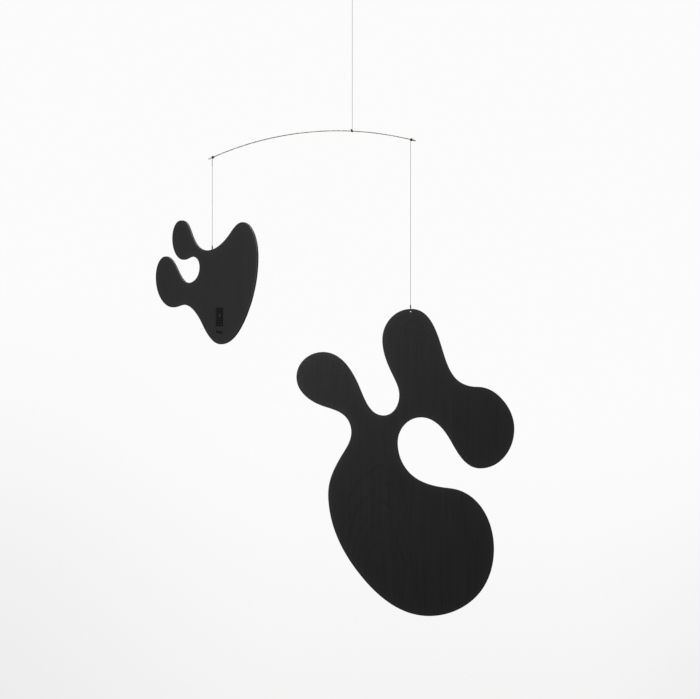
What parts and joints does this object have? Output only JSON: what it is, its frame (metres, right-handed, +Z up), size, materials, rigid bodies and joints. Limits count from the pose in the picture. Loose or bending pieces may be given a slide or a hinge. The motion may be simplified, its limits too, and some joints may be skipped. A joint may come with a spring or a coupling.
{
  "type": "hanging mobile sculpture",
  "caption": "Hanging mobile: flat black plywood biomorphic forms on threads from the ends of a bent steel wire that hangs by one thread.",
  "frame": {"origin": "inside top of the hanging loop, where the mobile hangs from a hook", "axes": "+Z up along the main thread, +X to the right along the arm towards the large form, front face of the large form towards -Y"},
  "size_m": [0.5262, 0.2407, 0.924],
  "materials": {
    "black_ply": "black stained plywood, fine vertical grain, satin, warm brown edges",
    "steel_wire": "drawn steel wire, bright satin",
    "thread": "black twisted thread, matt"
  },
  "bodies": {
    "suspension": {"hanging_loop": "thread", "loop_knot": "thread", "main_thread": "thread"},
    "arm": {"arm_wire": "steel_wire", "centre_tie": "thread", "left_tie": "thread", "right_tie": "thread", "small_thread": "thread", "large_thread": "thread"},
    "small": {"small_form": "black_ply", "small_knot": "thread", "small_loop": "thread"},
    "large": {"large_form": "black_ply", "large_knot": "thread", "large_loop": "thread"}
  },
  "joints": [
    {"name": "arm_turn", "type": "hinge", "parent": "suspension", "child": "arm", "pos_m": [0, 0, -0.2203], "axis": [0, 0, 1], "continuous": true},
    {"name": "small_turn", "type": "hinge", "parent": "arm", "child": "small", "pos_m": [-0.203, 0, -0.3955], "axis": [0, 0, 1], "continuous": true},
    {"name": "large_turn", "type": "hinge", "parent": "arm", "child": "large", "pos_m": [0.0845, 0, -0.482], "axis": [0, 0, 1], "continuous": true}
  ]
}
